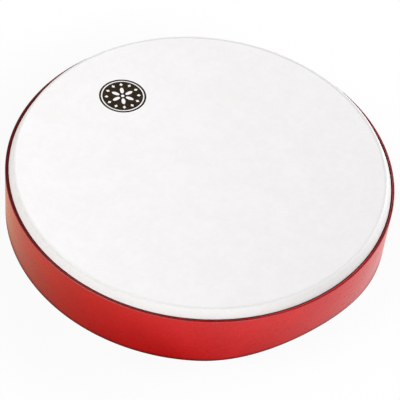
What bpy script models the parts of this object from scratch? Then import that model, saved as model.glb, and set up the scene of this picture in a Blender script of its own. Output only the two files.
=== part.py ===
"""A pandero: a 14 inch frame drum with a fixed head, a red PVC shell and no jingles.

Units are metres and +Z is up. The drum lies on its open side. The origin is the centre of the
circle that it stands on, and the hand grip in the shell's lower edge faces -Y.

From outside to inside the drum is a length of PVC tube (the shell), a beaded ring let into its
mouth, a film head with a raised collar, and a hoop that holds the head up by its bearing edge.
The head's skirt runs down between the shell and the hoop, turns round a wire hoop, and is set
there in resin.
"""

import math

import bpy

# Overall size
DRUM_RADIUS = 0.1778
DRUM_HEIGHT = 0.0635
RIM_HEIGHT = 0.0545

# Shell
SHELL_WALL = 0.0030
LIP_ROUNDING = 0.0005
FOOT_ROUNDING = 0.0009
MOUTH_REBATE_DEPTH = 0.0080
MOUTH_LIP_WIDTH = 0.0009
SMALL_CHAMFER = 0.0003

# Hand grip: a wave in the shell's lower edge
GRIP_DEPTH = 0.0107
GRIP_HALF_ANGLE = math.radians(38.0)
GRIP_DIRECTION = math.radians(-90.0)

# Head
FILM = 0.0004
PLAYING_RADIUS = 0.1688
CREASE_ROUNDING = 0.0020
COLLAR_SLOPE = math.radians(64.0)
COLLAR_FOOT_ROUNDING = 0.0030
HEM_HEIGHT = 0.0420
HEM_ROUNDING = 0.00175
HEM_TURN_UP = 0.0025

# Hoop under the head
HOOP_WALL = 0.0045
HOOP_BOTTOM = 0.0320
HOOP_INNER_ROUNDING = 0.0015

# Wire in the head's hem, and the resin that fills the channel above it
WIRE_RADIUS = 0.00095
RESIN_TOP_OUTSIDE = 0.0512
RESIN_TOP_INSIDE = 0.0500
RESIN_DIP = 0.0004

GAP = 0.0003
STEPS = 96
SHARP_ANGLE = math.radians(35.0)
MERGE_DISTANCE = 0.0001

# Sizes that follow from the ones above
SHELL_INSIDE = DRUM_RADIUS - SHELL_WALL
MOUTH_RADIUS = DRUM_RADIUS - MOUTH_LIP_WIDTH
MOUTH_SHELF = RIM_HEIGHT - MOUTH_REBATE_DEPTH
SKIRT_RADIUS = SHELL_INSIDE - GAP
CREASE_CENTRE = (PLAYING_RADIUS, DRUM_HEIGHT - CREASE_ROUNDING)
BEARING_ROUNDING = CREASE_ROUNDING - FILM - GAP
HOOP_RADIUS = PLAYING_RADIUS + BEARING_ROUNDING
HEM_CENTRE = (SKIRT_RADIUS - HEM_ROUNDING, HEM_HEIGHT)

QUARTER = math.pi / 2


def clear_scene():
    """Remove what the start-up file holds."""
    for item in list(bpy.data.objects):
        bpy.data.objects.remove(item, do_unlink=True)


def plastic(name, colour, roughness, metallic=0.0):
    """A Principled material with one colour."""
    material = bpy.data.materials.new(name)
    material.use_nodes = True
    shader = material.node_tree.nodes["Principled BSDF"]
    shader.inputs["Base Color"].default_value = (*colour, 1.0)
    shader.inputs["Roughness"].default_value = roughness
    shader.inputs["Metallic"].default_value = metallic
    material.diffuse_color = (*colour, 1.0)
    return material


def arc(centre, radius, start, end, steps):
    """Points (radius, height) on an arc, from one angle to another, both ends included."""
    points = []
    for index in range(steps + 1):
        angle = start + (end - start) * index / steps
        points.append((centre[0] + radius * math.cos(angle), centre[1] + radius * math.sin(angle)))
    return points


def turned(name, profile, material, drum, closed=True, thickness=0.0):
    """Turn a profile of (radius, height) points about Z, as one mesh object.

    A closed profile makes a ring. An open one makes a skin, which gets its thickness inwards.
    """
    count = len(profile)
    edges = [(index, index + 1) for index in range(count - 1)]
    if closed:
        edges.append((count - 1, 0))
    mesh = bpy.data.meshes.new(name)
    mesh.from_pydata([(radius, 0.0, height) for radius, height in profile], edges, [])
    piece = bpy.data.objects.new(name, mesh)
    drum.objects.link(piece)

    screw = piece.modifiers.new("Turn", "SCREW")
    screw.axis = "Z"
    screw.angle = 2 * math.pi
    screw.steps = STEPS
    screw.render_steps = STEPS
    screw.use_merge_vertices = not closed
    screw.merge_threshold = MERGE_DISTANCE
    if thickness:
        skin = piece.modifiers.new("Thickness", "SOLIDIFY")
        skin.thickness = thickness
        skin.offset = -1.0
        skin.use_even_offset = True

    apply_modifiers(piece)
    piece.data.materials.append(material)
    return piece


def apply_modifiers(piece):
    """Make the result of a piece's modifiers its own mesh."""
    depsgraph = bpy.context.evaluated_depsgraph_get()
    mesh = bpy.data.meshes.new_from_object(piece.evaluated_get(depsgraph))
    piece.modifiers.clear()
    piece.data = mesh


def shade_round(piece):
    """Shade the turned faces smooth and keep the corners of the section crisp."""
    piece.data.shade_smooth()
    piece.data.set_sharp_from_angle(angle=SHARP_ANGLE)


def grip_lift(angle):
    """How far the hand grip lifts the shell's lower edge at an angle round the drum."""
    off_centre = math.remainder(angle - GRIP_DIRECTION, 2 * math.pi)
    if abs(off_centre) >= GRIP_HALF_ANGLE:
        return 0.0
    return GRIP_DEPTH * 0.5 * (1.0 + math.cos(math.pi * off_centre / GRIP_HALF_ANGLE))


def make_shell(material, drum):
    """The tube: rounded lip, a rebate in its mouth, and the hand grip waved into its foot."""
    profile = [(MOUTH_RADIUS + SMALL_CHAMFER, RIM_HEIGHT)]
    lip_centre = (DRUM_RADIUS - LIP_ROUNDING, RIM_HEIGHT - LIP_ROUNDING)
    profile += arc(lip_centre, LIP_ROUNDING, QUARTER, 0.0, 2)
    outer_foot = (DRUM_RADIUS - FOOT_ROUNDING, FOOT_ROUNDING)
    profile += arc(outer_foot, FOOT_ROUNDING, 0.0, -QUARTER, 3)
    inner_foot = (SHELL_INSIDE + FOOT_ROUNDING, FOOT_ROUNDING)
    profile += arc(inner_foot, FOOT_ROUNDING, -QUARTER, -2 * QUARTER, 3)
    profile += [
        (SHELL_INSIDE, MOUTH_SHELF),
        (MOUTH_RADIUS, MOUTH_SHELF),
        (MOUTH_RADIUS, RIM_HEIGHT - SMALL_CHAMFER),
    ]
    shell = turned("shell", profile, material, drum)
    for point in shell.data.vertices:
        if point.co.z < RIM_HEIGHT / 2:
            point.co.z += grip_lift(math.atan2(point.co.y, point.co.x))
    shade_round(shell)
    return shell


def make_mouth_ring(material, drum):
    """The ring let into the shell's mouth: its half-round bead shows between collar and lip."""
    outside = MOUTH_RADIUS - GAP
    bead = (outside - SHELL_INSIDE) / 2
    profile = arc((SHELL_INSIDE + bead, RIM_HEIGHT - bead), bead, 2 * QUARTER, 0.0, 4)
    profile += [(outside, MOUTH_SHELF + GAP), (SHELL_INSIDE, MOUTH_SHELF + GAP)]
    ring = turned("mouth_ring", profile, material, drum)
    shade_round(ring)
    return ring


def head_profile():
    """The outer side of the head: playing surface, crease, sloping collar, skirt and hem."""
    crease_end = QUARTER - COLLAR_SLOPE
    crease = arc(CREASE_CENTRE, CREASE_ROUNDING, QUARTER, crease_end, 4)
    slope_start = crease[-1]
    foot_centre_radius = SKIRT_RADIUS - COLLAR_FOOT_ROUNDING
    slope_end_radius = foot_centre_radius + COLLAR_FOOT_ROUNDING * math.cos(crease_end)
    slope_drop = (slope_end_radius - slope_start[0]) * math.tan(COLLAR_SLOPE)
    foot_centre_height = slope_start[1] - slope_drop - COLLAR_FOOT_ROUNDING * math.sin(crease_end)
    foot_centre = (foot_centre_radius, foot_centre_height)
    collar_foot = arc(foot_centre, COLLAR_FOOT_ROUNDING, crease_end, 0.0, 2)
    hem = arc(HEM_CENTRE, HEM_ROUNDING, 0.0, -2 * QUARTER, 4)
    turned_up_end = (HEM_CENTRE[0] - HEM_ROUNDING, HEM_HEIGHT + HEM_TURN_UP)
    return [(0.0, DRUM_HEIGHT)] + crease + collar_foot + hem + [turned_up_end]


def make_head(material, drum):
    """The film: flat on top, with the collar that stands above the rim, turned up at its hem."""
    head = turned("drum_head", head_profile(), material, drum, closed=False, thickness=FILM)
    shade_round(head)
    return head


def make_bearing_hoop(material, drum):
    """The hoop inside: a rounded bearing edge on top, a foot that reaches out to the shell."""
    inside = HOOP_RADIUS - HOOP_WALL
    foot_top = HEM_HEIGHT - HEM_ROUNDING - GAP
    crest = CREASE_CENTRE[1] + BEARING_ROUNDING
    inner_centre = (inside + HOOP_INNER_ROUNDING, crest - HOOP_INNER_ROUNDING)
    profile = arc(inner_centre, HOOP_INNER_ROUNDING, 2 * QUARTER, QUARTER, 2)
    profile += arc(CREASE_CENTRE, BEARING_ROUNDING, QUARTER, 0.0, 3)
    profile += [
        (HOOP_RADIUS, foot_top),
        (SKIRT_RADIUS, foot_top),
        (SKIRT_RADIUS, HOOP_BOTTOM),
        (inside, HOOP_BOTTOM),
    ]
    hoop = turned("bearing_hoop", profile, material, drum)
    shade_round(hoop)
    return hoop


def make_hem_wire(material, drum):
    """The wire hoop that the head's hem is turned round, so that the film can't pull out."""
    profile = arc(HEM_CENTRE, WIRE_RADIUS, QUARTER, -3 * QUARTER, 8)[:-1]
    wire = turned("hem_wire", profile, material, drum)
    shade_round(wire)
    return wire


def make_resin_bed(material, drum):
    """The cast resin between the skirt and the hoop, which locks the hem down."""
    outside = SKIRT_RADIUS - FILM - GAP
    inside = HOOP_RADIUS + GAP
    tongue_inside = HEM_CENTRE[0] - HEM_ROUNDING + FILM + GAP
    tongue_bottom = HEM_HEIGHT + WIRE_RADIUS + GAP
    shoulder = HEM_HEIGHT + HEM_TURN_UP + GAP
    profile = [
        ((inside + outside) / 2, RESIN_TOP_INSIDE - RESIN_DIP),
        (outside, RESIN_TOP_OUTSIDE),
        (outside, tongue_bottom),
        (tongue_inside, tongue_bottom),
        (tongue_inside, shoulder),
        (inside, shoulder),
        (inside, RESIN_TOP_INSIDE),
    ]
    resin = turned("resin_bed", profile, material, drum)
    shade_round(resin)
    return resin


def main():
    """Build the drum and hang its pieces on one empty at the origin."""
    clear_scene()
    drum = bpy.data.collections.new("pandero")
    bpy.context.scene.collection.children.link(drum)

    red = plastic("red_pvc", (0.55, 0.022, 0.026), 0.28)
    dark_red = plastic("dark_red_pvc", (0.33, 0.013, 0.015), 0.28)
    film = plastic("coated_film", (0.88, 0.87, 0.86), 0.45)
    ivory = plastic("ivory_pvc", (0.72, 0.70, 0.66), 0.45)
    steel = plastic("steel_wire", (0.55, 0.55, 0.56), 0.35, metallic=1.0)
    amber = plastic("clear_resin", (0.60, 0.50, 0.34), 0.30)

    pieces = [
        make_shell(red, drum),
        make_mouth_ring(dark_red, drum),
        make_head(film, drum),
        make_bearing_hoop(ivory, drum),
        make_hem_wire(steel, drum),
        make_resin_bed(amber, drum),
    ]
    centre = bpy.data.objects.new("pandero_centre", None)
    drum.objects.link(centre)
    for piece in pieces:
        piece.parent = centre


main()
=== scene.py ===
"""The looks of a pandero: a red PVC frame drum with a fixed film head, on a pale studio floor.

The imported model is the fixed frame. The pieces that show are modelled again here with finer
curves, in the same places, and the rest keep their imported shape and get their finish.
"""

import logging
import math
from dataclasses import dataclass, field
from enum import Enum
from typing import Any, Iterable, Mapping, Sequence

import bpy
from mathutils import Matrix, Vector


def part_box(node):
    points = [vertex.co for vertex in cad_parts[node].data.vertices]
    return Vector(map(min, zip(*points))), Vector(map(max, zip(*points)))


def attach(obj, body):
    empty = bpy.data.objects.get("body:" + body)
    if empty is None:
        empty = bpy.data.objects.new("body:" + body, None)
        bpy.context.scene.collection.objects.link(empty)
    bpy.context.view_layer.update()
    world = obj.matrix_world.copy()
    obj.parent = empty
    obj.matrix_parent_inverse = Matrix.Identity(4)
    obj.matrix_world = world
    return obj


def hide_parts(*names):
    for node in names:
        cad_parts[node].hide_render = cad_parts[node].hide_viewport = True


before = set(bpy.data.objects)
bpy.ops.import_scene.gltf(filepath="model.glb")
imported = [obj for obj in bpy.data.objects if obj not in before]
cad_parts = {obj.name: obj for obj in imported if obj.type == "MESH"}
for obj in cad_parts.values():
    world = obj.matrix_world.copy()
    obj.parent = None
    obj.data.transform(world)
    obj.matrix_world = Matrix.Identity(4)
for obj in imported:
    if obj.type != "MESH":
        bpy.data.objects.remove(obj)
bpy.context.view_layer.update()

Point = tuple[float, float]
Span = tuple[float, float]
Colour = tuple[float, float, float]
Stretch = tuple[float, float, float]

MM = 0.001
QUARTER = math.pi / 2
RING_SIDES = 288
SHARP_ANGLE = math.radians(32.0)
MERGE_DISTANCE = 0.01 * MM
ROOT = "root"
GRIP_BEARING = math.radians(-90.0)
# Values of Shader.towards between which the painted shade on the far side fades into the colour near
# the grip.
FAR_SHADE_TO_GRIP = (-0.3, 0.9)
ABOVE_FOOT = "above_foot"
WHITE = (1.0, 1.0, 1.0)
FULL_WHITE_STRENGTH = 1.0
INK_THICKNESS = 0.05 * MM

log = logging.getLogger("pandero")


class Signal:
    """A number that varies over a surface: a node's output, on which arithmetic adds Math nodes."""

    def __init__(self, nodes: "Nodes", socket: bpy.types.NodeSocket) -> None:
        """Wrap an output socket of a tree of nodes."""
        self.nodes = nodes
        self.socket = socket

    def _math(self, operation: str, *values: "Signal | float") -> "Signal":
        """Add one Math node.

        Args:
            operation: Blender's name of the operation.
            values: its inputs, in order.

        Returns:
            The node's result.
        """
        node = self.nodes.node("ShaderNodeMath", {"operation": operation}, dict(enumerate(values)))
        return Signal(self.nodes, node.outputs[0])

    def __add__(self, other: "Signal | float") -> "Signal":
        """self + other."""
        return self._math("ADD", self, other)

    def __radd__(self, other: float) -> "Signal":
        """other + self."""
        return self._math("ADD", other, self)

    def __sub__(self, other: "Signal | float") -> "Signal":
        """self - other."""
        return self._math("SUBTRACT", self, other)

    def __rsub__(self, other: float) -> "Signal":
        """other - self."""
        return self._math("SUBTRACT", other, self)

    def __mul__(self, other: "Signal | float") -> "Signal":
        """self * other."""
        return self._math("MULTIPLY", self, other)

    def __rmul__(self, other: float) -> "Signal":
        """other * self."""
        return self._math("MULTIPLY", other, self)

    def __truediv__(self, other: "Signal | float") -> "Signal":
        """self / other."""
        return self._math("DIVIDE", self, other)

    def __pow__(self, exponent: float) -> "Signal":
        """self ** exponent."""
        return self._math("POWER", self, exponent)

    def ramp(self, low: float, high: float, bottom: float = 0.0, top: float = 1.0) -> "Signal":
        """A smooth rise or fall between two values of this signal.

        Args:
            low: the input where the result starts to change.
            high: the input where it stops.
            bottom: the result up to low.
            top: the result from high on.

        Returns:
            The smoothed step.
        """
        node = self.nodes.node(
            "ShaderNodeMapRange",
            {"interpolation_type": "SMOOTHSTEP"},
            {"Value": self, "From Min": low, "From Max": high, "To Min": bottom, "To Max": top},
        )
        return Signal(self.nodes, node.outputs["Result"])

    def swing(self, amount: float) -> "Signal":
        """This noise around one half, as a change of up to half the amount either way."""
        return (self - 0.5) * amount


class Nodes:
    """A tree of shader nodes under construction, for a material or the world."""

    def __init__(self, tree: bpy.types.NodeTree) -> None:
        """Take an existing tree."""
        self.tree = tree

    def feed(self, socket: bpy.types.NodeSocket, value: Any) -> None:
        """Put a value, a signal or a link's other end on an input socket.

        Args:
            socket: the input.
            value: a Signal, an output socket, a number or a colour.
        """
        if isinstance(value, Signal):
            self.tree.links.new(value.socket, socket)
        elif isinstance(value, bpy.types.NodeSocket):
            self.tree.links.new(value, socket)
        elif isinstance(value, tuple) and len(value) == 3 and len(socket.default_value) == 4:
            socket.default_value = (*value, 1.0)
        else:
            socket.default_value = value

    def node(
        self,
        kind: str,
        settings: Mapping[str, Any] | None = None,
        inputs: Mapping[str | int, Any] | None = None,
    ) -> bpy.types.Node:
        """Add a node.

        Args:
            kind: Blender's type name of the node.
            settings: its properties, which are set first.
            inputs: values or links, by the socket's name or number.

        Returns:
            The new node.
        """
        made = self.tree.nodes.new(kind)
        for name, value in (settings or {}).items():
            setattr(made, name, value)
        for key, value in (inputs or {}).items():
            self.feed(made.inputs[key], value)
        return made

    def seen(self) -> tuple[Signal, Signal]:
        """Find out which rays look at the background.

        Returns:
            1 for the camera's and clear rays, and 1 for mirrored ones.
        """
        path = self.node("ShaderNodeLightPath")
        camera = Signal(self, path.outputs["Is Camera Ray"])
        clear = Signal(self, path.outputs["Is Transmission Ray"])
        return camera + clear, Signal(self, path.outputs["Is Glossy Ray"])


class Shader(Nodes):
    """One material under construction, around its Principled node."""

    def __init__(self, name: str) -> None:
        """Make the material and find its Principled node.

        Args:
            name: the material's name.
        """
        self.material = bpy.data.materials.new(name)
        self.material.use_nodes = True
        super().__init__(self.material.node_tree)
        self.surface = self.tree.nodes["Principled BSDF"]

    def place(self) -> tuple[Signal, Signal, Signal]:
        """Find the point being shaded, in metres on the drum.

        Returns:
            Its x, y and z.
        """
        where = self.node("ShaderNodeTexCoord")
        parts = self.node("ShaderNodeSeparateXYZ", inputs={0: where.outputs["Object"]})
        x, y, z = (Signal(self, socket) for socket in parts.outputs)
        return x, y, z

    def from_axis(self) -> Signal:
        """How far the point being shaded is from the drum's axis."""
        x, y, _ = self.place()
        return (x * x + y * y) ** 0.5

    def along(self, bearing: float) -> Signal:
        """How far out towards a bearing the point being shaded is."""
        x, y, _ = self.place()
        return x * math.cos(bearing) + y * math.sin(bearing)

    def towards(self, bearing: float) -> Signal:
        """How near to a bearing a point lies: 1 at the bearing, -1 on the opposite side."""
        return self.along(bearing) / self.from_axis()

    def attribute(self, name: str) -> Signal:
        """A number that the piece's points carry."""
        return Signal(self, self.node("ShaderNodeAttribute", {"attribute_name": name}).outputs["Fac"])

    def stretched(self, scale: Stretch) -> bpy.types.NodeSocket:
        """Object coordinates, stretched along each axis.

        Args:
            scale: the factor along each axis.

        Returns:
            The coordinates' output socket.
        """
        where = self.node("ShaderNodeTexCoord")
        mapping = self.node(
            "ShaderNodeMapping", inputs={"Vector": where.outputs["Object"], "Scale": scale}
        )
        return mapping.outputs["Vector"]

    def noise(
        self,
        size: float,
        detail: float = 2.0,
        distortion: float = 0.0,
        stretch: Stretch = (1.0, 1.0, 1.0),
    ) -> Signal:
        """Cloudy noise around one half.

        Args:
            size: the size of a cloud, in metres.
            detail: how many finer layers it has.
            distortion: how far the clouds are stirred.
            stretch: a factor on the coordinates along each axis.

        Returns:
            The noise, from about 0 to 1.
        """
        node = self.node(
            "ShaderNodeTexNoise",
            inputs={
                "Vector": self.stretched(stretch),
                "Scale": 1.0 / size,
                "Detail": detail,
                "Distortion": distortion,
            },
        )
        return Signal(self, node.outputs["Fac"])

    def mix(self, factor: Signal, first: Any, second: Any) -> bpy.types.NodeSocket:
        """Blend two colours.

        Args:
            factor: 0 gives the first and 1 the second.
            first: a colour or a colour output.
            second: another.

        Returns:
            The blended colour's output socket.
        """
        node = self.node(
            "ShaderNodeMix", {"data_type": "RGBA"}, {"Factor": factor, "A": first, "B": second}
        )
        return node.outputs[2]

    def bump(self, height: Signal, depth: float) -> None:
        """Raise the surface's normal by a height from 0 to 1, over a depth in metres."""
        node = self.node("ShaderNodeBump", inputs={"Height": height, "Distance": depth})
        self.feed(self.surface.inputs["Normal"], node.outputs["Normal"])

    def finish(self, **sockets: Any) -> bpy.types.Material:
        """Set the Principled node's inputs.

        Args:
            sockets: values by the input's name, with _ for a space.

        Returns:
            The finished material.
        """
        for name, value in sockets.items():
            self.feed(self.surface.inputs[name.replace("_", " ")], value)
        return self.material


@dataclass(frozen=True)
class RedPvc:
    """Red PVC tube: satin gloss, faint drawing lines round it, a darker red lip, and painted shade low
    down.
    """

    wall_height: float
    name: str = "red_pvc"
    colour: Colour = (0.760, 0.006, 0.008)
    deep_and_shaded: Colour = (0.610, 0.003, 0.004)
    edge: Colour = (0.060, 0.003, 0.003)
    lip: Colour = (0.40, 0.005, 0.006)
    far_lip_shade: Colour = (0.14, 0.003, 0.003)
    cloud_size: float = 35 * MM
    cloud_span: Span = (0.3, 0.7)
    cloud_share: float = 0.4
    lip_height: float = 0.35 * MM
    groove_radius: float = 177.5 * MM
    groove_width: float = 0.4 * MM
    groove_shade_depth: float = 0.95
    edge_low: float = 1.3 * MM
    edge_high: float = 2.4 * MM
    foot_shade_height: float = 6.0 * MM
    foot_shade_depth: float = 0.35
    line_size: float = 12 * MM
    line_stretch: Stretch = (1.0, 1.0, 28.0)
    line_relief: float = 0.5
    peel_size: float = 2.2 * MM
    peel_relief: float = 0.3
    handling_size: float = 9 * MM
    relief: float = 0.009 * MM
    roughness: float = 0.28
    handling_swing: float = 0.05
    line_swing: float = 0.04

    def material(self) -> bpy.types.Material:
        """Make the material.

        Returns:
            The material.
        """
        shader = Shader(self.name)
        _, _, height = shader.place()
        clouds = shader.noise(self.cloud_size, detail=3.0).ramp(*self.cloud_span)
        # Painted shade: the red darkens towards the foot, mixed with random clouds of darker red.
        rise = height.ramp(0.0, self.wall_height)
        tone = clouds * self.cloud_share + rise * (1.0 - self.cloud_share)
        body = shader.mix(tone, self.deep_and_shaded, self.colour)
        # The lip is a darker red, with painted shade on its side away from the grip.
        lip = height.ramp(self.wall_height - self.lip_height, self.wall_height)
        near = shader.towards(GRIP_BEARING).ramp(*FAR_SHADE_TO_GRIP)
        body = shader.mix(lip, body, shader.mix(near, self.far_lip_shade, self.lip))
        # Painted shade at the lip's inner edge, in the groove against the ring.
        groove_start = self.groove_radius - self.groove_width
        groove = shader.from_axis().ramp(groove_start, self.groove_radius, self.groove_shade_depth, 0.0)
        body = shader.mix(lip * groove, body, self.edge)
        # Painted shade: the edge colour covers the foot's rounding, where a contact shadow falls, and
        # fades up the wall's lowest millimetres.
        above_foot = shader.attribute(ABOVE_FOOT)
        painted_foot_shade = above_foot.ramp(self.edge_low, self.foot_shade_height, self.foot_shade_depth, 0.0)
        foot_contact_shade = above_foot.ramp(self.edge_low, self.edge_high, 1.0, 0.0)
        colour = shader.mix(painted_foot_shade + foot_contact_shade, body, self.edge)
        lines = shader.noise(self.line_size, detail=4.0, stretch=self.line_stretch)
        peel = shader.noise(self.peel_size, detail=1.0)
        shader.bump(lines * self.line_relief + peel * self.peel_relief, self.relief)
        handling = shader.noise(self.handling_size, detail=4.0, distortion=1.5)
        roughness = self.roughness + handling.swing(self.handling_swing) + lines.swing(self.line_swing)
        return shader.finish(Base_Color=colour, Roughness=roughness)


@dataclass(frozen=True)
class RingPvc:
    """The mouth ring: dark red PVC with painted shade in its seams and on its far side, and a painted
    highlight at the grip.
    """

    name: str = "red_pvc_ring"
    colour: Colour = (0.33, 0.005, 0.006)
    light: Colour = (0.40, 0.006, 0.007)
    far: Colour = (0.13, 0.003, 0.003)
    painted_highlight: Colour = (0.74, 0.045, 0.055)
    seam_shade: Colour = (0.050, 0.003, 0.003)
    streak_size: float = 6 * MM
    streak_span: Span = (0.35, 0.7)
    painted_highlight_span: Span = (0.88, 0.98)
    seam_radius: float = 175.4 * MM
    full_radius: float = 176.0 * MM
    line_radius: float = 176.3 * MM
    line_fade: float = 0.3 * MM
    outer_seam_shade_depth: float = 0.8
    grain_size: float = 0.8 * MM
    relief: float = 0.01 * MM
    roughness: float = 0.3
    streak_swing: float = 0.12
    gloss: float = 0.1

    def material(self) -> bpy.types.Material:
        """Make the material.

        Returns:
            The material.
        """
        shader = Shader(self.name)
        streaks = shader.noise(self.streak_size, detail=3.0)
        body = shader.mix(streaks.ramp(*self.streak_span), self.colour, self.light)
        # Painted shade: the ring darkens on its side away from the grip.
        towards_grip = shader.towards(GRIP_BEARING)
        body = shader.mix(towards_grip.ramp(*FAR_SHADE_TO_GRIP), self.far, body)
        # Painted highlight: the ring turns pale pink where it faces the grip.
        body = shader.mix(towards_grip.ramp(*self.painted_highlight_span), body, self.painted_highlight)
        # Painted shade in the gap against the film inside and in the groove against the lip outside.
        radius = shader.from_axis()
        inside = radius.ramp(self.seam_radius, self.full_radius, 1.0, 0.0)
        line = radius.ramp(self.line_radius, self.line_radius + self.line_fade, 0.0, self.outer_seam_shade_depth)
        colour = shader.mix(inside + line, body, self.seam_shade)
        shader.bump(shader.noise(self.grain_size, detail=2.0), self.relief)
        roughness = self.roughness + streaks.swing(self.streak_swing)
        return shader.finish(Base_Color=colour, Roughness=roughness, Specular_IOR_Level=self.gloss)


@dataclass(frozen=True)
class CoatedFilm:
    """White coated film: faint mottling, fibres and dirt specks; painted shade along the crease and
    low on the collar; a collar made whiter as painted light.
    """

    name: str = "coated_film"
    light: Colour = (0.868, 0.853, 0.861)
    shade: Colour = (0.836, 0.824, 0.820)
    # Painted light: the collar is whiter than the flat film, for light its steep slope does not get.
    collar: Colour = (0.998, 0.994, 0.988)
    soil_and_shade: Colour = (0.925, 0.922, 0.905)
    fibre: Colour = (0.860, 0.848, 0.835)
    crease_shade: Colour = (0.700, 0.698, 0.695)
    film_foot_shade: Colour = (0.200, 0.008, 0.008)
    broad_size: float = 38 * MM
    broad_share: float = 0.45
    patch_size: float = 9 * MM
    mottle_span: Span = (0.34, 0.66)
    strand_size: float = 5 * MM
    fibre_width: float = 0.0006
    fibre_strength: float = 0.35
    speck_size: float = 3 * MM
    speck_span: Span = (0.4, 0.7)
    speck_strength: float = 0.5
    collar_foot_shade_strength: float = 0.3
    film_shade_height: float = 54.55 * MM
    film_shade_fade: float = 0.3 * MM
    crease_radius: float = 168.7 * MM
    crease_aside: float = 1.1 * MM
    crease_wander: float = 2.4 * MM
    # The square of the painted shade line's half width, in square millimetres.
    crease_reach: float = 2.2
    crease_height: float = 63.4 * MM
    crease_fall: float = 0.8 * MM
    crease_heights: Span = (60.0 * MM, 61.0 * MM)
    crease_shade_bearing: float = math.radians(47.3)
    crease_shade_span: Span = (-0.3, 0.9)
    crease_shade_least: float = 0.42
    crease_shade_most: float = 1.05
    crease_shade_evenness: float = 0.6
    grain_size: float = 0.7 * MM
    grain_share: float = 0.6
    relief: float = 0.02 * MM
    roughness: float = 0.46
    patch_swing: float = 0.12
    gloss: float = 0.4

    def playing_surface(self, shader: Shader, patches: Signal) -> bpy.types.NodeSocket:
        """The mottled white of the flat surface.

        Args:
            shader: the film's material.
            patches: its noise of small patches.

        Returns:
            The colour.
        """
        broad = shader.noise(self.broad_size, detail=3.0, distortion=0.6)
        mottle = broad * self.broad_share + patches * (1.0 - self.broad_share)
        return shader.mix(mottle.ramp(*self.mottle_span), self.shade, self.light)

    def side(self, shader: Shader, height: Signal) -> bpy.types.NodeSocket:
        """The collar's white, with painted shade towards its foot and dirt in specks.

        Args:
            shader: the film's material.
            height: the height above the floor.

        Returns:
            The colour.
        """
        specks = shader.noise(self.speck_size, detail=3.0, distortion=1.0)
        # Painted shade: the collar darkens towards its foot; the specks are dirt.
        foot_shade_and_specks = height.ramp(self.film_shade_height, self.crease_height, self.collar_foot_shade_strength, 0.0)
        foot_shade_and_specks = foot_shade_and_specks + specks.ramp(*self.speck_span, 0.0, self.speck_strength)
        return shader.mix(foot_shade_and_specks, self.collar, self.soil_and_shade)

    def crease(self, shader: Shader, patches: Signal) -> Signal:
        """How strongly painted shade greys the film along the crease.

        Args:
            shader: the film's material.
            patches: its noise of small patches, which makes the line wander and fade.

        Returns:
            The strength, from 0 to about 1.
        """
        x, y, height = shader.place()
        across = x + self.crease_aside
        wander = patches.swing(self.crease_wander)
        off_line = ((across * across + y * y) ** 0.5 - self.crease_radius + wander) * (1.0 / MM)
        line = (off_line * off_line).ramp(0.0, self.crease_reach, 1.0, 0.0)
        # Painted shade: the line is stronger on the drum's far side, towards the given bearing.
        towards = shader.towards(self.crease_shade_bearing)
        far_side_strength = towards.ramp(*self.crease_shade_span, self.crease_shade_least, self.crease_shade_most)
        strength = line * far_side_strength * (self.crease_shade_evenness + patches)
        return strength * height.ramp(*self.crease_heights)

    def material(self) -> bpy.types.Material:
        """Make the material.

        Returns:
            The material.
        """
        shader = Shader(self.name)
        _, _, height = shader.place()
        patches = shader.noise(self.patch_size, detail=4.0, distortion=1.2)
        fallen = height.ramp(self.crease_height - self.crease_fall, self.crease_height, 1.0, 0.0)
        surface = self.playing_surface(shader, patches)
        colour = shader.mix(fallen, surface, self.side(shader, height))
        strands = shader.noise(self.strand_size, detail=5.0, distortion=2.5) - 0.5
        fibres = (strands * strands).ramp(0.0, self.fibre_width, self.fibre_strength, 0.0)
        colour = shader.mix(fibres, colour, self.fibre)
        # Painted shade along the crease.
        colour = shader.mix(self.crease(shader, patches), colour, self.crease_shade)
        # Painted shade, tinted like red light bounced off the ring: the film turns dark red at the
        # rim.
        film_foot_shade = height.ramp(self.film_shade_height - self.film_shade_fade, self.film_shade_height, 1.0, 0.0)
        colour = shader.mix(film_foot_shade, colour, self.film_foot_shade)
        grain = shader.noise(self.grain_size, detail=2.0)
        shader.bump(grain * self.grain_share + patches * (1.0 - self.grain_share), self.relief)
        roughness = self.roughness + patches.swing(self.patch_swing)
        return shader.finish(Base_Color=colour, Roughness=roughness, Specular_IOR_Level=self.gloss)


@dataclass(frozen=True)
class PrintInk:
    """Dark brown printing ink, a little thin in places."""

    name: str = "brown_ink"
    colour: Colour = (0.012, 0.006, 0.001)
    thin: Colour = (0.040, 0.024, 0.010)
    cover_size: float = 3 * MM
    thin_span: Span = (0.45, 0.75)
    roughness: float = 0.6
    cover_swing: float = 0.2
    gloss: float = 0.1

    def material(self) -> bpy.types.Material:
        """Make the material.

        Returns:
            The material.
        """
        shader = Shader(self.name)
        cover = shader.noise(self.cover_size, detail=4.0)
        colour = shader.mix(cover.ramp(*self.thin_span), self.colour, self.thin)
        roughness = self.roughness + cover.swing(self.cover_swing)
        return shader.finish(Base_Color=colour, Roughness=roughness, Specular_IOR_Level=self.gloss)


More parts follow.
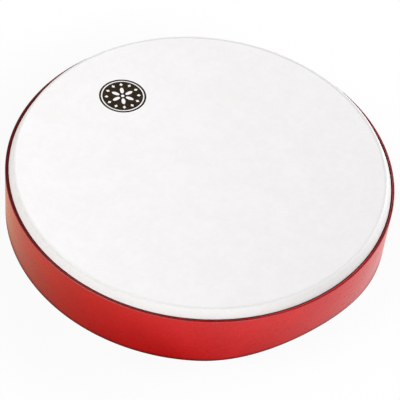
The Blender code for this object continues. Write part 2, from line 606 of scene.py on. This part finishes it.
@dataclass(frozen=True)
class IvoryPvc:
    """The hoop inside: sawn and turned ivory PVC with fine turning marks."""

    name: str = "ivory_pvc"
    colour: Colour = (0.70, 0.68, 0.63)
    shade: Colour = (0.62, 0.595, 0.54)
    cloud_size: float = 22 * MM
    cloud_span: Span = (0.3, 0.7)
    mark_size: float = 10 * MM
    mark_stretch: Stretch = (1.0, 1.0, 40.0)
    relief: float = 0.04 * MM
    roughness: float = 0.48
    mark_swing: float = 0.15

    def material(self) -> bpy.types.Material:
        """Make the material.

        Returns:
            The material.
        """
        shader = Shader(self.name)
        clouds = shader.noise(self.cloud_size, detail=4.0)
        colour = shader.mix(clouds.ramp(*self.cloud_span), self.shade, self.colour)
        marks = shader.noise(self.mark_size, detail=5.0, stretch=self.mark_stretch)
        shader.bump(marks, self.relief)
        roughness = self.roughness + marks.swing(self.mark_swing)
        return shader.finish(Base_Color=colour, Roughness=roughness)


@dataclass(frozen=True)
class SteelWire:
    """Drawn steel wire, a little tarnished."""

    name: str = "steel_wire"
    colour: Colour = (0.56, 0.56, 0.57)
    dull: Colour = (0.40, 0.39, 0.38)
    tarnish_size: float = 4 * MM
    dull_span: Span = (0.45, 0.75)
    rough_span: Span = (0.3, 0.8)
    smoothest: float = 0.25
    roughest: float = 0.5

    def material(self) -> bpy.types.Material:
        """Make the material.

        Returns:
            The material.
        """
        shader = Shader(self.name)
        tarnish = shader.noise(self.tarnish_size, detail=4.0)
        colour = shader.mix(tarnish.ramp(*self.dull_span), self.colour, self.dull)
        roughness = tarnish.ramp(*self.rough_span, self.smoothest, self.roughest)
        return shader.finish(Base_Color=colour, Metallic=1.0, Roughness=roughness)


@dataclass(frozen=True)
class CastResin:
    """Amber casting resin with small bubbles."""

    name: str = "cast_resin"
    colour: Colour = (0.58, 0.47, 0.30)
    bubble: Colour = (0.74, 0.66, 0.50)
    bubble_spacing: float = 1.8 * MM
    bubble_span: Span = (0.10, 0.22)
    smoothest: float = 0.22
    roughest: float = 0.4

    def material(self) -> bpy.types.Material:
        """Make the material.

        Returns:
            The material.
        """
        shader = Shader(self.name)
        cells = shader.node("ShaderNodeTexVoronoi", inputs={"Scale": 1.0 / self.bubble_spacing})
        shader.feed(cells.inputs["Vector"], shader.stretched((1.0, 1.0, 1.0)))
        bubbles = Signal(shader, cells.outputs["Distance"]).ramp(*self.bubble_span, 1.0, 0.0)
        colour = shader.mix(bubbles, self.colour, self.bubble)
        roughness = bubbles.ramp(0.0, 1.0, self.smoothest, self.roughest)
        return shader.finish(Base_Color=colour, Roughness=roughness)


def arc(centre: Point, radius: float, start: float, end: float, steps: int) -> list[Point]:
    """Points on an arc of a section.

    Args:
        centre: the arc's centre, as radius from the drum's axis and height.
        radius: the arc's own radius.
        start: the angle of the first point, from straight out.
        end: the angle of the last.
        steps: how many straight stretches it has.

    Returns:
        The points, both ends included.
    """
    angles = [start + (end - start) * index / steps for index in range(steps + 1)]
    return [
        (centre[0] + radius * math.cos(angle), centre[1] + radius * math.sin(angle))
        for angle in angles
    ]


def start_editing(name: str) -> bpy.types.Object:
    """Name the object that was just added and open it for editing, with all of it selected.

    Args:
        name: its new name.

    Returns:
        The object, in edit mode.
    """
    piece = bpy.context.active_object
    piece.name = name
    bpy.ops.object.mode_set(mode="EDIT")
    bpy.ops.mesh.select_mode(type="EDGE")
    bpy.ops.mesh.select_all(action="SELECT")
    return piece


def draw_section(name: str, section: Sequence[Point], closed: bool) -> bpy.types.Object:
    """Draw a circle of edges down a section, as a potter draws a wall.

    Args:
        name: the new piece's name.
        section: points as radius and height, in order round the section.
        closed: whether the last point joins the first. If not, both ends are filled.

    Returns:
        The piece, a closed body.
    """
    bpy.ops.object.select_all(action="DESELECT")
    radius, height = section[0]
    bpy.ops.mesh.primitive_circle_add(vertices=RING_SIDES, radius=radius, fill_type="NOTHING")
    piece = start_editing(name)
    bpy.ops.transform.translate(value=(0.0, 0.0, height))
    following = list(section[1:]) + ([section[0]] if closed else [])
    for next_radius, next_height in following:
        bpy.ops.mesh.extrude_region()
        growth = next_radius / radius
        bpy.ops.transform.resize(value=(growth, growth, 1.0), center_override=(0.0, 0.0, height))
        bpy.ops.transform.translate(value=(0.0, 0.0, next_height - height))
        radius, height = next_radius, next_height
    bpy.ops.mesh.select_all(action="SELECT")
    bpy.ops.mesh.remove_doubles(threshold=MERGE_DISTANCE)
    if not closed:
        bpy.ops.mesh.fill_holes(sides=0)
    bpy.ops.mesh.normals_make_consistent(inside=False)
    bpy.ops.object.mode_set(mode="OBJECT")
    return piece


def apply_all(piece: bpy.types.Object) -> None:
    """Apply a piece's modifiers in order.

    Args:
        piece: the mesh object.
    """
    bpy.context.view_layer.objects.active = piece
    for modifier in list(piece.modifiers):
        bpy.ops.object.modifier_apply(modifier=modifier.name)


def shade(piece: bpy.types.Object) -> None:
    """Shade a piece smooth, with its sharp corners kept.

    Args:
        piece: the mesh object.
    """
    bpy.ops.object.select_all(action="DESELECT")
    piece.select_set(True)
    bpy.context.view_layer.objects.active = piece
    bpy.ops.object.shade_smooth_by_angle(angle=SHARP_ANGLE)


def dress(
    piece: bpy.types.Object, material: bpy.types.Material, slot: str, nodes: Iterable[str] = ()
) -> None:
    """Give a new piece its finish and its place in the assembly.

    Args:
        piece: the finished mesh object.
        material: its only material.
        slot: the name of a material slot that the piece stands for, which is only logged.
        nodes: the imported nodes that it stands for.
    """
    piece.data.materials.clear()
    piece.data.materials.append(material)
    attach(piece, ROOT)
    for node in nodes:
        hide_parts(node)
    log.info("%s: %d faces, slot %s", piece.name, len(piece.data.polygons), slot)


@dataclass
class Grip:
    """The hand grip: a wave that lifts the shell's lower edge on one side."""

    depth: float = 10.7 * MM
    half_angle: float = math.radians(38.0)
    direction: float = GRIP_BEARING

    def lift(self, angle: float) -> float:
        """How far the edge is lifted at an angle round the drum.

        Args:
            angle: the angle from +X, in radians.

        Returns:
            The lift as a share of the grip's depth, from 0 to 1.
        """
        off_centre = math.remainder(angle - self.direction, 2 * math.pi)
        if abs(off_centre) >= self.half_angle:
            return 0.0
        return 0.5 * (1.0 + math.cos(math.pi * off_centre / self.half_angle))

    def wave(self, piece: bpy.types.Object, below: float) -> None:
        """Lift the lower edge of a turned wall, and note each point's height above that edge.

        Args:
            piece: the wall.
            below: the height up to which its points belong to the edge.
        """
        group = piece.vertex_groups.new(name="grip")
        shares = [self.lift(math.atan2(point.co.y, point.co.x)) for point in piece.data.vertices]
        for point, share in zip(piece.data.vertices, shares):
            if point.co.z <= below and share > 0.0:
                group.add([point.index], share, "REPLACE")
        lifter = piece.modifiers.new("Grip", "DISPLACE")
        lifter.direction = "Z"
        lifter.mid_level = 0.0
        lifter.strength = self.depth
        lifter.vertex_group = group.name
        apply_all(piece)
        piece.vertex_groups.clear()
        heights = piece.data.attributes.new(ABOVE_FOOT, "FLOAT", "POINT")
        for point, share in zip(piece.data.vertices, shares):
            heights.data[point.index].value = point.co.z - share * self.depth


@dataclass
class Shell:
    """The red wall with its rebated mouth, and the beaded ring let into it."""

    radius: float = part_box("shell")[1].x
    height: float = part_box("shell")[1].z
    wall: float = 3.0 * MM
    lip_rounding: float = 0.5 * MM
    foot_rounding: float = 0.9 * MM
    mouth_lip: float = 0.9 * MM
    mouth_depth: float = 8.0 * MM
    chamfer: float = 0.3 * MM
    ring_outside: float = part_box("mouth_ring")[1].x
    ring_bottom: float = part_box("mouth_ring")[0].z
    chamfer_steps: int = 3
    lip_steps: int = 6
    foot_steps: int = 7
    bead_steps: int = 16
    grip: Grip = field(default_factory=Grip)

    def wall_section(self) -> list[Point]:
        """The tube's section: lip, outside, foot, inside, and the rebate in its mouth.

        Returns:
            The points, from the mouth's chamfer outwards and round.
        """
        inside = self.radius - self.wall
        mouth = self.radius - self.mouth_lip
        shelf = self.height - self.mouth_depth
        mouth_corner = (mouth + self.chamfer, self.height - self.chamfer)
        lip_centre = (self.radius - self.lip_rounding, self.height - self.lip_rounding)
        outer_foot = (self.radius - self.foot_rounding, self.foot_rounding)
        inner_foot = (inside + self.foot_rounding, self.foot_rounding)
        section = arc(mouth_corner, self.chamfer, 2 * QUARTER, QUARTER, self.chamfer_steps)
        section += arc(lip_centre, self.lip_rounding, QUARTER, 0.0, self.lip_steps)
        section += arc(outer_foot, self.foot_rounding, 0.0, -QUARTER, self.foot_steps)
        section += arc(inner_foot, self.foot_rounding, -QUARTER, -2 * QUARTER, self.foot_steps)
        section += [(inside, shelf), (mouth, shelf)]
        return section

    def ring_section(self) -> list[Point]:
        """The mouth ring's section: a half-round bead on top, square below.

        Returns:
            The points, from the bead's inner side outwards and round.
        """
        inside = self.radius - self.wall
        bead = (self.ring_outside - inside) / 2
        section = arc(
            (inside + bead, self.height - bead), bead, 2 * QUARTER, 0.0, self.bead_steps
        )
        section += [(self.ring_outside, self.ring_bottom), (inside, self.ring_bottom)]
        return section

    def build(self) -> None:
        """Model and dress the wall and the ring."""
        wall = draw_section("shell_wall", self.wall_section(), closed=True)
        self.grip.wave(wall, self.foot_rounding + MERGE_DISTANCE)
        shade(wall)
        dress(wall, RedPvc(wall_height=self.height).material(), "red_shell", ["shell"])
        ring = draw_section("mouth_trim", self.ring_section(), closed=True)
        shade(ring)
        dress(ring, RingPvc().material(), "red_ring", ["mouth_ring"])


@dataclass
class Head:
    """The film: playing surface, crease, raised collar, skirt and turned-up hem."""

    top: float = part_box("drum_head")[1].z
    packed_skirt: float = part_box("drum_head")[1].x
    skirt_growth: float = 0.4 * MM
    film: float = 0.4 * MM
    playing_radius: float = 168.8 * MM
    crease: float = 2.0 * MM
    slope: float = math.radians(64.0)
    collar_foot: float = 1.2 * MM
    hem_height: float = 42.0 * MM
    hem: float = 1.75 * MM
    hem_turn_up: float = 2.5 * MM
    surface_shares: tuple[float, ...] = (0.06, 0.35, 0.7, 0.95)
    crease_steps: int = 12
    collar_foot_steps: int = 6
    hem_steps: int = 10

    def side(self, inset: float) -> list[Point]:
        """One face of the film, from the playing surface to the end of the hem.

        Args:
            inset: how far it lies inside the film's outer face.

        Returns:
            The points, from the middle outwards and down.
        """
        surface = self.top - INK_THICKNESS
        skirt = self.packed_skirt + self.skirt_growth
        end = QUARTER - self.slope
        crease_centre = (self.playing_radius, surface - self.crease)
        crease = arc(crease_centre, self.crease - inset, QUARTER, end, self.crease_steps)
        foot_radius = skirt - self.collar_foot
        outer_start = crease_centre[0] + self.crease * math.cos(end)
        outer_end = foot_radius + self.collar_foot * math.cos(end)
        drop = (outer_end - outer_start) * math.tan(self.slope)
        foot_height = crease_centre[1] + (self.crease - self.collar_foot) * math.sin(end) - drop
        foot_centre = (foot_radius, foot_height)
        foot = arc(foot_centre, self.collar_foot - inset, end, 0.0, self.collar_foot_steps)
        hem_centre = (skirt - self.hem, self.hem_height)
        hem = arc(hem_centre, self.hem - inset, 0.0, -2 * QUARTER, self.hem_steps)
        turned_up = (hem_centre[0] - self.hem + inset, self.hem_height + self.hem_turn_up)
        surface_rings = [
            (share * self.playing_radius, surface - inset) for share in self.surface_shares
        ]
        return surface_rings + crease + foot + hem + [turned_up]

    def build(self) -> None:
        """Model and dress the film."""
        section = self.side(0.0) + self.side(self.film)[::-1]
        skin = draw_section("head_film", section, closed=False)
        shade(skin)
        dress(skin, CoatedFilm().material(), "film", ["drum_head"])


@dataclass
class Hoop:
    """The ivory hoop inside, with its bearing edge and foot."""

    foot_outside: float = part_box("bearing_hoop")[1].x
    bottom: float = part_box("bearing_hoop")[0].z
    crest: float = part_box("bearing_hoop")[1].z
    wall: float = 4.5 * MM
    bearing: float = 1.3 * MM
    radius: float = 170.1 * MM
    foot_top: float = 39.95 * MM
    inner_rounding: float = 1.5 * MM
    edge: float = 0.4 * MM
    rounding_steps: int = 6
    edge_steps: int = 3

    def build(self) -> None:
        """Model and dress the hoop."""
        inside = self.radius - self.wall
        inner_centre = (inside + self.inner_rounding, self.crest - self.inner_rounding)
        section = arc(
            inner_centre, self.inner_rounding, 2 * QUARTER, QUARTER, self.rounding_steps
        )
        bearing_centre = (self.radius - self.bearing, self.crest - self.bearing)
        section += arc(bearing_centre, self.bearing, QUARTER, 0.0, self.rounding_steps)
        section += [(self.radius, self.foot_top), (self.foot_outside, self.foot_top)]
        outer_centre = (self.foot_outside - self.edge, self.bottom + self.edge)
        section += arc(outer_centre, self.edge, 0.0, -QUARTER, self.edge_steps)
        inner_edge = (inside + self.edge, self.bottom + self.edge)
        section += arc(inner_edge, self.edge, -QUARTER, -2 * QUARTER, self.edge_steps)
        hoop = draw_section("inner_hoop", section, closed=True)
        shade(hoop)
        dress(hoop, IvoryPvc().material(), "hoop", ["bearing_hoop"])


class Motif(Enum):
    """The small shapes that are left open in the print, by their number of corners."""

    LOZENGE = 4
    PETAL = 24


@dataclass
class Ornament:
    """A generic round ornament printed on the head: a solid disc with a flower left open in it."""

    top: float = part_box("drum_head")[1].z
    thickness: float = INK_THICKNESS
    from_middle: float = 109.7 * MM
    direction: float = math.radians(95.1)
    rim_radius: float = 22.2 * MM
    rim_line: float = 1.8 * MM
    disc_radius: float = 19.2 * MM
    round_corners: int = 96
    heart_radius: float = 1.6 * MM
    lozenges: int = 12
    lozenge_length: float = 4.0 * MM
    lozenge_width: float = 3.3 * MM
    lozenge_distance: float = 15.2 * MM
    petals: int = 6
    petal_length: float = 7.8 * MM
    petal_width: float = 3.7 * MM
    petal_distance: float = 7.2 * MM
    cutter_times_thicker: int = 20

    def circle(self, name: str, corners: int, radius: float, filled: bool) -> bpy.types.Object:
        """Add a flat circle or polygon at the origin and open it for editing.

        Args:
            name: its name.
            corners: how many corners it has.
            radius: its radius.
            filled: whether it is a disc or a bare outline.

        Returns:
            The shape, in edit mode, all selected.
        """
        bpy.ops.object.select_all(action="DESELECT")
        fill = "NGON" if filled else "NOTHING"
        bpy.ops.mesh.primitive_circle_add(vertices=corners, radius=radius, fill_type=fill)
        return start_editing(name)

    def ring(self, outside: float, line: float) -> bpy.types.Object:
        """A flat ring.

        Args:
            outside: its outer radius.
            line: the width of its line.

        Returns:
            The ring.
        """
        piece = self.circle("print_ring", self.round_corners, outside, filled=False)
        bpy.ops.mesh.extrude_region()
        shrink = (outside - line) / outside
        bpy.ops.transform.resize(value=(shrink, shrink, 1.0), center_override=(0.0, 0.0, 0.0))
        bpy.ops.object.mode_set(mode="OBJECT")
        return piece

    def disc(self, radius: float) -> bpy.types.Object:
        """A flat disc.

        Args:
            radius: its radius.

        Returns:
            The disc.
        """
        piece = self.circle("print_disc", self.round_corners, radius, filled=True)
        bpy.ops.object.mode_set(mode="OBJECT")
        return piece

    def motif(self, kind: Motif, length: float, width: float, distance: float) -> bpy.types.Object:
        """One flat petal or lozenge, pointing outwards along +X.

        Args:
            kind: which shape.
            length: its size along the radius.
            width: its size across.
            distance: how far its middle is from the ornament's middle.

        Returns:
            The flat shape.
        """
        piece = self.circle("print_motif", kind.value, 1.0, filled=True)
        size = (length / 2, width / 2, 1.0)
        bpy.ops.transform.resize(value=size, center_override=(0.0, 0.0, 0.0))
        bpy.ops.transform.translate(value=(distance, 0.0, 0.0))
        bpy.ops.object.mode_set(mode="OBJECT")
        return piece

    def round_about(self, first: bpy.types.Object, count: int) -> list[bpy.types.Object]:
        """Copy a motif round the ornament's middle.

        Args:
            first: the motif, modelled on +X.
            count: how many there are in all.

        Returns:
            All of them, each with its own mesh.
        """
        copies = [first]
        for index in range(1, count):
            copy = first.copy()
            copy.data = first.data.copy()
            copy.data.transform(Matrix.Rotation(2 * math.pi * index / count, 4, "Z"))
            bpy.context.scene.collection.objects.link(copy)
            copies.append(copy)
        return copies

    def thicken(self, shapes: Sequence[bpy.types.Object], thickness: float) -> bpy.types.Object:
        """Join flat shapes and make them solid.

        Args:
            shapes: the flat shapes, which don't touch.
            thickness: how thick they get, half of it above their plane and half below.

        Returns:
            The first shape, which holds them all.
        """
        bpy.ops.object.select_all(action="DESELECT")
        for shape in shapes:
            shape.select_set(True)
        joined = shapes[0]
        bpy.context.view_layer.objects.active = joined
        if len(shapes) > 1:
            bpy.ops.object.join()
        body = joined.modifiers.new("Thickness", "SOLIDIFY")
        body.thickness = thickness
        body.offset = 0.0
        apply_all(joined)
        bpy.ops.object.mode_set(mode="EDIT")
        bpy.ops.mesh.select_all(action="SELECT")
        bpy.ops.mesh.normals_make_consistent(inside=False)
        bpy.ops.object.mode_set(mode="OBJECT")
        return joined

    def build(self) -> None:
        """Model the solid print, cut the flower out of it and lay it on the head."""
        openings = [self.disc(self.heart_radius)]
        lozenge = self.motif(
            Motif.LOZENGE, self.lozenge_length, self.lozenge_width, self.lozenge_distance
        )
        openings += self.round_about(lozenge, self.lozenges)
        petal = self.motif(Motif.PETAL, self.petal_length, self.petal_width, self.petal_distance)
        openings += self.round_about(petal, self.petals)
        cutter = self.thicken(openings, self.cutter_times_thicker * self.thickness)
        ornament = self.thicken([self.disc(self.disc_radius)], self.thickness)
        cut = ornament.modifiers.new("Flower", "BOOLEAN")
        cut.operation = "DIFFERENCE"
        cut.object = cutter
        apply_all(ornament)
        bpy.data.objects.remove(cutter)
        rim = self.thicken([self.ring(self.rim_radius, self.rim_line)], self.thickness)
        bpy.ops.object.select_all(action="DESELECT")
        rim.select_set(True)
        ornament.select_set(True)
        bpy.context.view_layer.objects.active = ornament
        bpy.ops.object.join()
        ornament.name = "head_print"
        middle = Vector(
            (
                self.from_middle * math.cos(self.direction),
                self.from_middle * math.sin(self.direction),
                self.top - self.thickness / 2,
            )
        )
        ornament.data.transform(Matrix.Translation(middle))
        dress(ornament, PrintInk().material(), "film")


class HiddenPieces:
    """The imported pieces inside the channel, which keep their shape and get their finish."""

    def dress(self) -> None:
        """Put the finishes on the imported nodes' own material slots."""
        finishes = {"hem_wire": SteelWire(), "resin_bed": CastResin()}
        for name, finish in finishes.items():
            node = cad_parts[name]
            material = finish.material()
            for slot in node.material_slots:
                slot.material = material
            log.info("%s: packed shape, %s", name, finish.name)


@dataclass
class Camera:
    """The photograph's camera, from its fit to the rim, the foot and the head's crease."""

    # The lens and the sensor are in millimetres, as Blender takes them.
    lens: float = 147.36
    sensor: float = 36.0
    distance: float = 1.5339
    elevation: float = math.radians(47.24)
    heading: float = math.radians(-132.7)
    roll: float = math.radians(6.73)
    aside: float = -2.28 * MM
    above: float = -8.60 * MM

    def build(self) -> None:
        """Make the camera and look through it."""
        data = bpy.data.cameras.new("camera")
        data.lens = self.lens
        data.sensor_width = self.sensor
        camera = bpy.data.objects.new("camera", data)
        bpy.context.scene.collection.objects.link(camera)
        level = math.cos(self.elevation)
        back = Vector(
            (level * math.cos(self.heading), level * math.sin(self.heading), math.sin(self.elevation))
        )
        right = Vector((-math.sin(self.heading), math.cos(self.heading), 0.0))
        up = back.cross(right)
        place = back * self.distance - right * self.aside - up * self.above
        axes = Matrix((right, up, back)).transposed().to_4x4()
        spin = Matrix.Rotation(self.roll, 4, "Z")
        camera.matrix_world = Matrix.Translation(place) @ axes @ spin
        bpy.context.scene.camera = camera


@dataclass(frozen=True)
class Lamp:
    """A square soft lamp that looks at the drum."""

    name: str
    bearing: float
    elevation: float
    distance: float
    size: float
    power: float

    def hang(self) -> None:
        """Make the lamp: bearing and elevation are in degrees, the bearing from +X."""
        data = bpy.data.lights.new(self.name, "AREA")
        data.shape = "SQUARE"
        data.size = self.size
        data.energy = self.power
        lamp = bpy.data.objects.new(self.name, data)
        bpy.context.scene.collection.objects.link(lamp)
        bearing = math.radians(self.bearing)
        elevation = math.radians(self.elevation)
        level = self.distance * math.cos(elevation)
        away = Vector(
            (
                level * math.cos(bearing),
                level * math.sin(bearing),
                self.distance * math.sin(elevation),
            )
        )
        turn = (-away).to_track_quat("-Z", "Y").to_matrix().to_4x4()
        lamp.matrix_world = Matrix.Translation(away) @ turn


@dataclass
class Studio:
    """A white floor, a pale world and soft lamps."""

    world_level: float = 0.12
    floor_size: float = 12.0
    floor_roughness: float = 0.9
    # The floor lights the wall: painted shadow darkens it in front of the drum, and it is warm and
    # dark on its left.
    floor_colour: Colour = (0.80, 0.80, 0.80)
    shaded_colour: Colour = (0.16, 0.14, 0.11)
    board_colour: Colour = (0.14, 0.10, 0.06)
    painted_warm_reflection: Colour = (1.0, 0.88, 0.62)
    seen_near: float = 0.95
    seen_far: float = 1.0
    near: float = 0.19
    far: float = 0.32
    foot_radius: float = 178 * MM
    contact_shadow_width: float = 1.8 * MM
    shade_bearing: float = math.radians(-142.7)
    shade_narrowing: float = 2.3
    shade_near: float = 10 * MM
    shade_far: float = 75 * MM
    mirror_far: float = 265 * MM
    board_bearing: float = math.radians(137.3)
    board_start: float = -60 * MM
    board_full: float = 140 * MM
    lamps: tuple[Lamp, ...] = (
        Lamp("left_back", 134.3, 66.0, 1.4, 0.8, 10.3),
        Lamp("left", 164.3, 48.0, 1.5, 0.8, 6.5),
        Lamp("front", -142.7, 3.0, 1.6, 0.8, 4.4),
        Lamp("right", -102.7, 8.0, 1.8, 1.0, 14.0),
        Lamp("right_back", 2.3, 19.0, 1.8, 1.0, 23.7),
    )

    def world(self) -> None:
        """A pale even world that the camera and mirrored and clear rays see as white."""
        world = bpy.data.worlds.new("studio")
        bpy.context.scene.world = world
        world.use_nodes = True
        nodes = Nodes(world.node_tree)
        pale = world.node_tree.nodes["Background"]
        nodes.feed(pale.inputs["Color"], WHITE)
        nodes.feed(pale.inputs["Strength"], self.world_level)
        white = nodes.node(
            "ShaderNodeBackground", inputs={"Color": WHITE, "Strength": FULL_WHITE_STRENGTH}
        )
        looking, mirrored = nodes.seen()
        mix = nodes.node(
            "ShaderNodeMixShader",
            inputs={0: looking + mirrored, 1: pale.outputs[0], 2: white.outputs[0]},
        )
        out = world.node_tree.nodes["World Output"]
        nodes.feed(out.inputs["Surface"], mix.outputs[0])

    def floor_finish(self) -> bpy.types.Material:
        """Make the floor's material: white to the camera, with the drum's faint shadow and a faint
        painted shadow.

        Returns:
            The material.
        """
        shader = Shader("floor_white")
        x, y, _ = shader.place()
        from_middle = shader.from_axis()
        from_foot = from_middle - self.foot_radius
        off_x = x - self.foot_radius * math.cos(self.shade_bearing)
        off_y = y - self.foot_radius * math.sin(self.shade_bearing)
        outwards = from_foot * self.shade_narrowing
        from_shade = (off_x * off_x + off_y * off_y + outwards * outwards) ** 0.5
        looking, mirrored = shader.seen()
        share = looking * from_middle.ramp(self.near, self.far, self.seen_near, self.seen_far)
        # Mirrored rays see white, darkened by painted shadow at the drum's foot and in front of it.
        bright = from_shade.ramp(self.shade_near, self.mirror_far) * from_foot.ramp(0.0, self.contact_shadow_width)
        share = share + mirrored * bright
        # Painted shadow: diffuse rays see the shaded colour in front of the drum, mirrored rays see it
        # everywhere.
        lit = from_shade.ramp(self.shade_near, self.shade_far) - mirrored
        board = shader.along(self.board_bearing).ramp(self.board_start, self.board_full)
        ground = shader.mix(board, self.floor_colour, self.board_colour)
        ground = shader.mix(lit, self.shaded_colour, ground)
        shader.finish(Base_Color=ground, Roughness=self.floor_roughness, Specular_IOR_Level=0.0)
        # Painted reflection: mirrored rays see the board on the left as a warm glow.
        light = shader.mix(mirrored * board, WHITE, self.painted_warm_reflection)
        glow = shader.node(
            "ShaderNodeEmission", inputs={"Color": light, "Strength": FULL_WHITE_STRENGTH}
        )
        mix = shader.node(
            "ShaderNodeMixShader",
            inputs={0: share, 1: shader.surface.outputs[0], 2: glow.outputs[0]},
        )
        out = shader.tree.nodes["Material Output"]
        shader.feed(out.inputs["Surface"], mix.outputs[0])
        return shader.material

    def floor(self) -> None:
        """Lay a plain floor under the drum."""
        bpy.ops.object.select_all(action="DESELECT")
        bpy.ops.mesh.primitive_plane_add(size=self.floor_size, location=(0.0, 0.0, 0.0))
        floor = bpy.context.active_object
        floor.name = "floor"
        floor.data.materials.append(self.floor_finish())

    def build(self) -> None:
        """Set up the whole studio."""
        self.world()
        self.floor()
        for lamp in self.lamps:
            lamp.hang()
        bpy.context.scene.view_settings.view_transform = "Standard"


def main() -> None:
    """Build the drum's pieces, the studio and the camera."""
    logging.basicConfig(level=logging.INFO, format="%(name)s: %(message)s")
    Shell().build()
    Head().build()
    Hoop().build()
    Ornament().build()
    HiddenPieces().dress()
    Studio().build()
    Camera().build()


if __name__ == "__main__":
    main()
